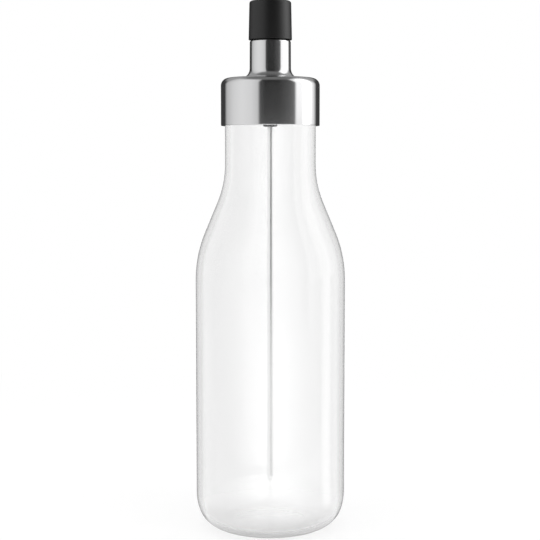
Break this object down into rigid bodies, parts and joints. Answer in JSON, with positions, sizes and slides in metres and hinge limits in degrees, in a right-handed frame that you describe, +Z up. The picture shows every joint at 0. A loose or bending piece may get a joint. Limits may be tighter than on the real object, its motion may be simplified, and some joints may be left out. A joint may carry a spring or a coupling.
{
  "type": "oil bottle",
  "caption": "Clear glass oil bottle with a satin steel pouring head that lifts off, a pull-off black cap, and a steel skewer hanging inside for herbs.",
  "frame": {"origin": "centre of the foot ring, on the surface that the bottle stands on", "axes": "+Z up along the bottle's axis, from the base to the cap; +X towards the side where the vent tube runs inside the head"},
  "size_m": [0.07, 0.07, 0.246],
  "materials": {
    "clear_glass": "clear",
    "satin_steel": "satin",
    "bright_steel": "polished",
    "black_plastic": "matte",
    "cap_black": "matte",
    "silicone": "matte"
  },
  "bodies": {
    "bottle": {"glass_bottle": "clear_glass"},
    "head": {"steel_cover": "satin_steel", "stopper_core": "black_plastic", "rim_gasket": "silicone", "seal_ring_lower": "silicone", "seal_ring_middle": "silicone", "seal_ring_upper": "silicone", "pour_spout": "black_plastic", "spout_seal": "silicone", "vent_tube": "bright_steel", "skewer_hub": "black_plastic"},
    "cap": {"cap_shell": "cap_black", "cap_seal": "silicone"},
    "skewer": {"skewer": "bright_steel"}
  },
  "joints": [
    {"name": "head_lift", "type": "slide", "parent": "bottle", "child": "head", "axis": [0, 0, 1], "range_m": [0, 0.195]},
    {"name": "cap_pull", "type": "slide", "parent": "head", "child": "cap", "axis": [0, 0, 1], "range_m": [0, 0.025]},
    {"name": "skewer_draw", "type": "slide", "parent": "head", "child": "skewer", "axis": [0, 0, -1], "range_m": [0, 0.012]}
  ]
}
